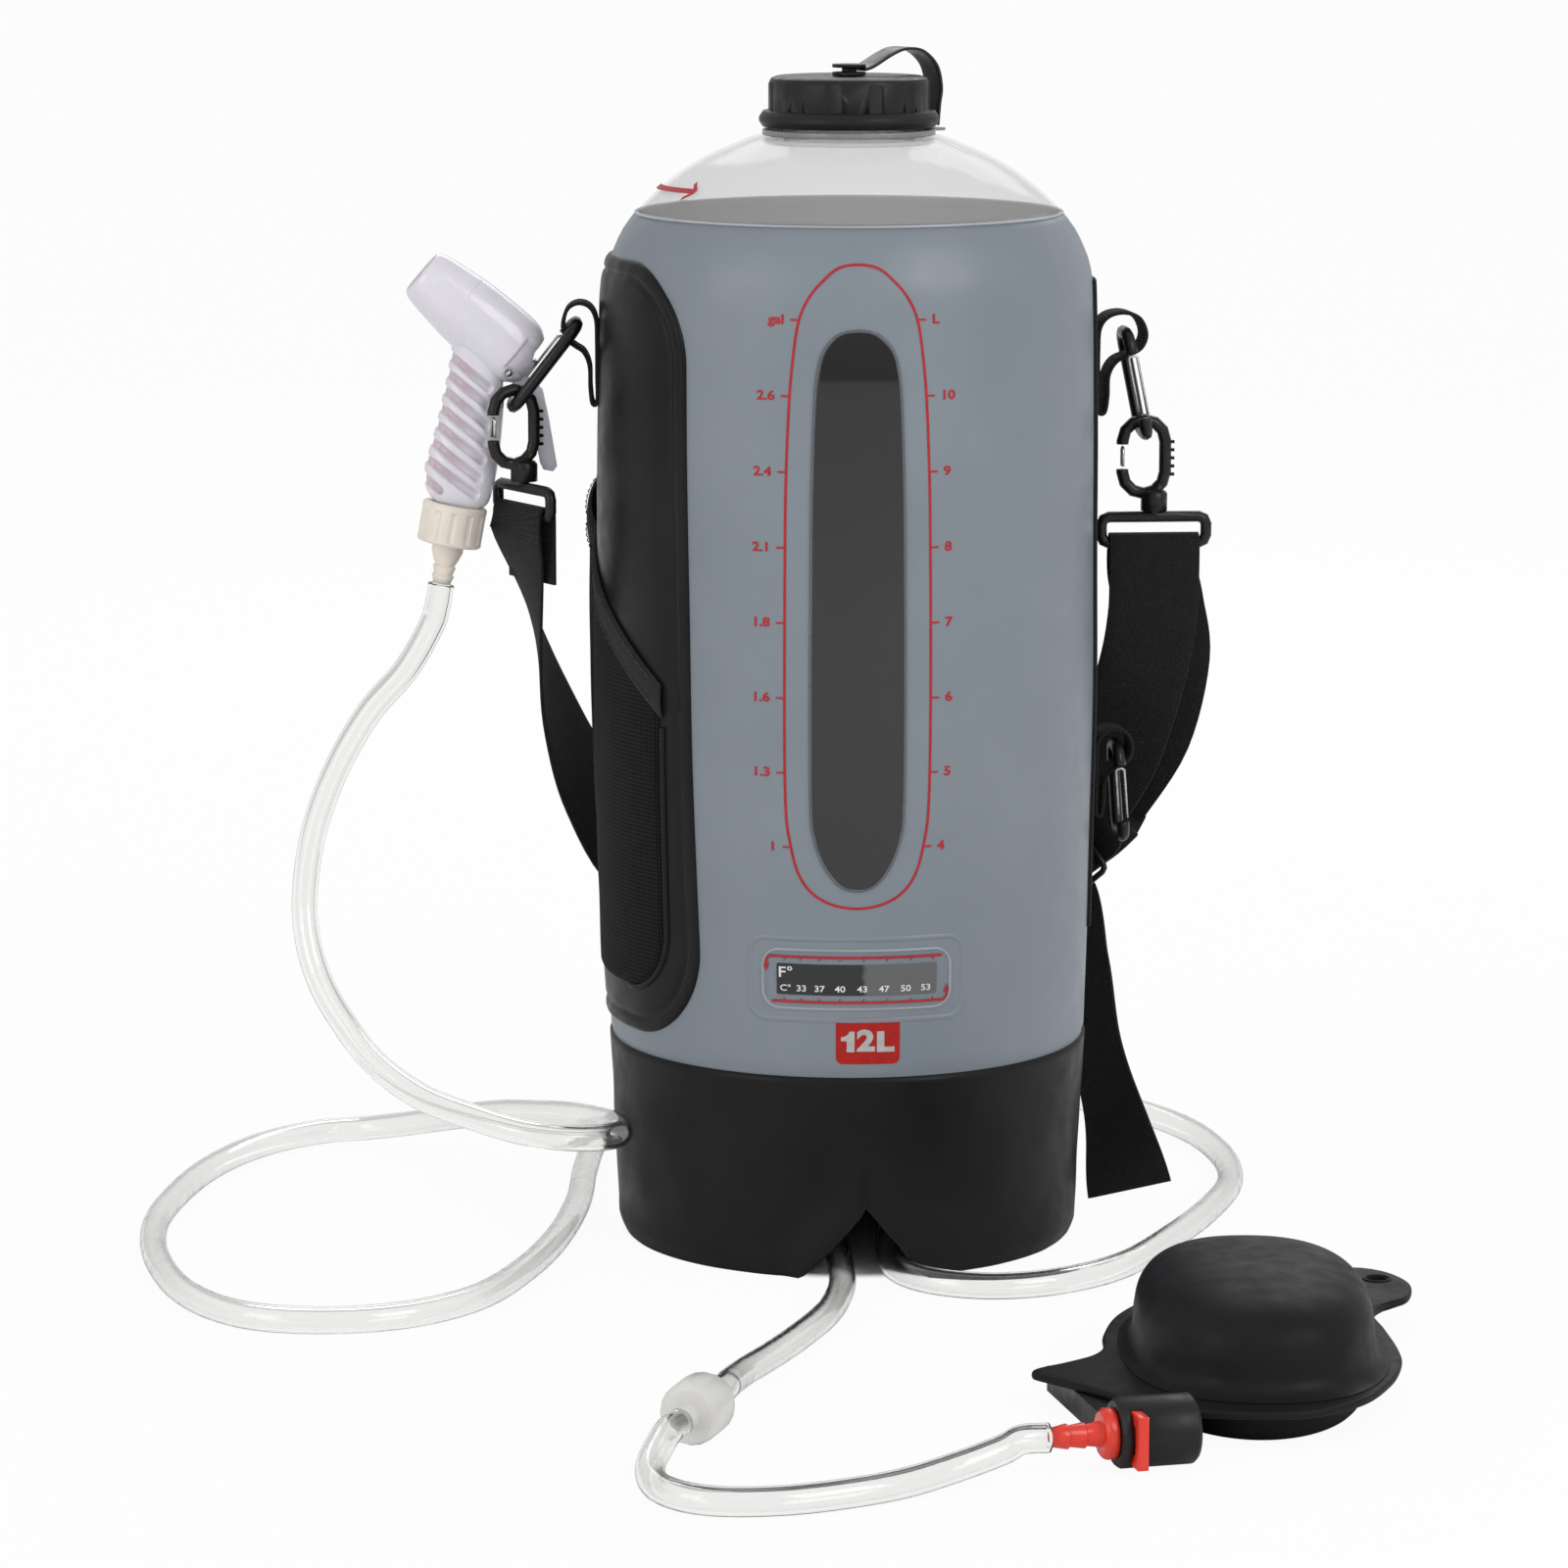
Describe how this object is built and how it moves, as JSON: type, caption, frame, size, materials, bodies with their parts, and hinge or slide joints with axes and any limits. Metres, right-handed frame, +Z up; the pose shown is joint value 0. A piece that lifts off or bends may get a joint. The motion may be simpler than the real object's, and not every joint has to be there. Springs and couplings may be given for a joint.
{
  "type": "camp shower bag",
  "caption": "Soft cylindrical camp shower bag on a stiff collar, with a filler cap, shoulder strap, hose with trigger spray gun and a foot pump.",
  "frame": {"origin": "on the floor under the middle of the object's box, measured without the hoses", "axes": "+Z up, the bag's printed front faces -Y, the spray gun hangs on the -X side"},
  "size_m": [0.5084, 0.6627, 0.496],
  "materials": {
    "grey_fabric": "semi-gloss coated polyester, welded",
    "cream_plastic": "moulded nylon",
    "black_fabric": "coated woven polyester, black",
    "black_plastic": "moulded acetal, satin",
    "black_rubber": "matte moulded rubber",
    "steel": "bent or turned stainless steel",
    "clear_film": "clear soft PVC",
    "white_plastic": "moulded ABS, glossy",
    "red_plastic": "moulded nylon, red",
    "black_webbing": "ribbed webbing, black",
    "foam": "open-cell foam"
  },
  "bodies": {
    "bag": {"bag_floor": "grey_fabric", "bag_wall": "grey_fabric", "barb_tail": "cream_plastic", "base_collar": "black_fabric", "carabiner_left": "black_plastic", "carabiner_right": "black_plastic", "check_valve_body": "clear_film", "filler_neck": "clear_film", "gun_body": "white_plastic", "gun_face": "cream_plastic", "inlet_elbow": "black_plastic", "inlet_nut": "black_plastic", "loop_left": "black_webbing", "loop_right": "black_webbing", "loop_right_lower": "black_webbing", "neck_ring": "clear_film", "outlet_elbow": "black_plastic", "outlet_nut": "black_plastic", "pocket_binding": "black_webbing", "pocket_pouch": "black_webbing", "pump_barb": "red_plastic", "pump_base": "black_rubber", "pump_hose_far": "clear_film", "pump_hose_near": "clear_film", "pump_housing": "black_plastic", "shoulder_strap": "black_webbing", "shower_hose": "clear_film", "side_band": "black_webbing", "side_panel": "black_fabric", "sight_window": "clear_film", "strap_ring_left": "black_plastic", "strap_ring_right": "black_plastic", "strap_slider": "black_plastic", "strap_tail": "black_webbing", "tether_strap": "black_webbing", "thermometer_strip": "black_plastic", "thermometer_window": "clear_film", "top_dome": "clear_film", "trigger_pin": "steel", "valve_spring": "steel"},
    "cap_carrier": {"tether_button": "black_plastic"},
    "cap": {"cap": "black_plastic", "cap_gasket": "black_rubber"},
    "trigger": {"gun_trigger": "white_plastic"},
    "valve": {"valve_stem": "steel"},
    "hose_nut": {"hose_nut": "cream_plastic"},
    "pump_top": {"pump_dome": "black_rubber", "pump_foam": "foam"},
    "clip": {"pump_clip": "red_plastic"},
    "intake_flap": {"intake_flap": "red_plastic"},
    "check_disc": {"check_valve_disc": "black_rubber"},
    "left_gate": {"carabiner_left_gate": "steel"},
    "right_gate": {"carabiner_right_gate": "steel"},
    "lower_carabiner": {"carabiner_lower": "black_plastic"},
    "lower_gate": {"carabiner_lower_gate": "steel"},
    "snap_hook_left": {"snap_hook_left": "black_plastic"},
    "snap_gate_left": {"snap_gate_left": "steel"},
    "snap_hook_right": {"snap_hook_right": "black_plastic"},
    "snap_gate_right": {"snap_gate_right": "steel"}
  },
  "joints": [
    {"name": "cap_lift", "type": "slide", "parent": "bag", "child": "cap_carrier", "axis": [0, 0, 1], "range_m": [0, 0.006], "deforming": ["tether_strap"]},
    {"name": "cap_turn", "type": "hinge", "parent": "cap_carrier", "child": "cap", "pos_m": [-0.01437, 0.13132, 0.4642], "axis": [0, 0, 1], "range_deg": [0, 720]},
    {"name": "trigger", "type": "hinge", "parent": "bag", "child": "trigger", "pos_m": [-0.15528, 0.1419, 0.36296], "axis": [0, 1, 0], "range_deg": [0, 12], "stiffness_Nm_per_rad": 1.5},
    {"name": "valve_slide", "type": "slide", "parent": "bag", "child": "valve", "axis": [0.7547, 0, -0.6561], "range_m": [0, 0.0016], "deforming": ["valve_spring"]},
    {"name": "hose_nut_turn", "type": "hinge", "parent": "bag", "child": "hose_nut", "pos_m": [-0.17686, 0.1419, 0.31172], "axis": [0.1822, 0, 0.9833], "range_deg": [0, 360]},
    {"name": "pump_press", "type": "slide", "parent": "bag", "child": "pump_top", "axis": [0, 0, -1], "range_m": [0, 0.025], "stiffness_N_per_m": 3000, "deforming": ["pump_dome", "pump_foam"]},
    {"name": "clip_press", "type": "slide", "parent": "bag", "child": "clip", "axis": [-0.1736, 0.9848, 0], "range_m": [0, 0.004], "stiffness_N_per_m": 500},
    {"name": "intake_lift", "type": "slide", "parent": "bag", "child": "intake_flap", "axis": [0, 0, 1], "range_m": [0, 0.001]},
    {"name": "check_lift", "type": "slide", "parent": "bag", "child": "check_disc", "axis": [0.3907, 0.9205, 0], "range_m": [0, 0.0015]},
    {"name": "left_gate_swing", "type": "hinge", "parent": "bag", "child": "left_gate", "pos_m": [-0.14888, 0.1504, 0.35498], "axis": [0.788, 0, -0.6157], "range_deg": [0, 8], "stiffness_Nm_per_rad": 0.05},
    {"name": "right_gate_swing", "type": "hinge", "parent": "bag", "child": "right_gate", "pos_m": [0.10917, 0.12869, 0.34265], "axis": [-0.9799, 0, -0.1994], "range_deg": [0, 8], "stiffness_Nm_per_rad": 0.05},
    {"name": "lower_carabiner_swing", "type": "hinge", "parent": "bag", "child": "lower_carabiner", "pos_m": [0.09984, 0.1405, 0.203], "axis": [0, 1, 0], "range_deg": [-35, 5]},
    {"name": "lower_gate_swing", "type": "hinge", "parent": "lower_carabiner", "child": "lower_gate", "pos_m": [0.102, 0.12951, 0.172], "axis": [-0.9976, 0, -0.0698], "range_deg": [0, 6], "stiffness_Nm_per_rad": 0.05},
    {"name": "hook_swivel_left", "type": "hinge", "parent": "bag", "child": "snap_hook_left", "pos_m": [-0.14923, 0.13194, 0.35642], "axis": [0, 0, 1], "range_deg": [-8, 0]},
    {"name": "snap_gate_left_swing", "type": "hinge", "parent": "snap_hook_left", "child": "snap_gate_left", "pos_m": [-0.16192, 0.12732, 0.33562], "axis": [-0.342, 0.9397, 0], "range_deg": [0, 20], "stiffness_Nm_per_rad": 0.05},
    {"name": "hook_swivel_right", "type": "hinge", "parent": "bag", "child": "snap_hook_right", "pos_m": [0.11516, 0.14069, 0.34086], "axis": [0, 0, 1], "range_deg": [-20, 20]},
    {"name": "snap_gate_right_swing", "type": "hinge", "parent": "snap_hook_right", "child": "snap_gate_right", "pos_m": [0.10166, 0.14069, 0.32006], "axis": [0, 1, 0], "range_deg": [0, 20], "stiffness_Nm_per_rad": 0.05}
  ],
  "couplings": [
    {"joint": "cap_turn", "follows": "cap_lift", "rad_per_m": 2094.4},
    {"joint": "trigger", "follows": "valve_slide", "rad_per_m": 125}
  ]
}
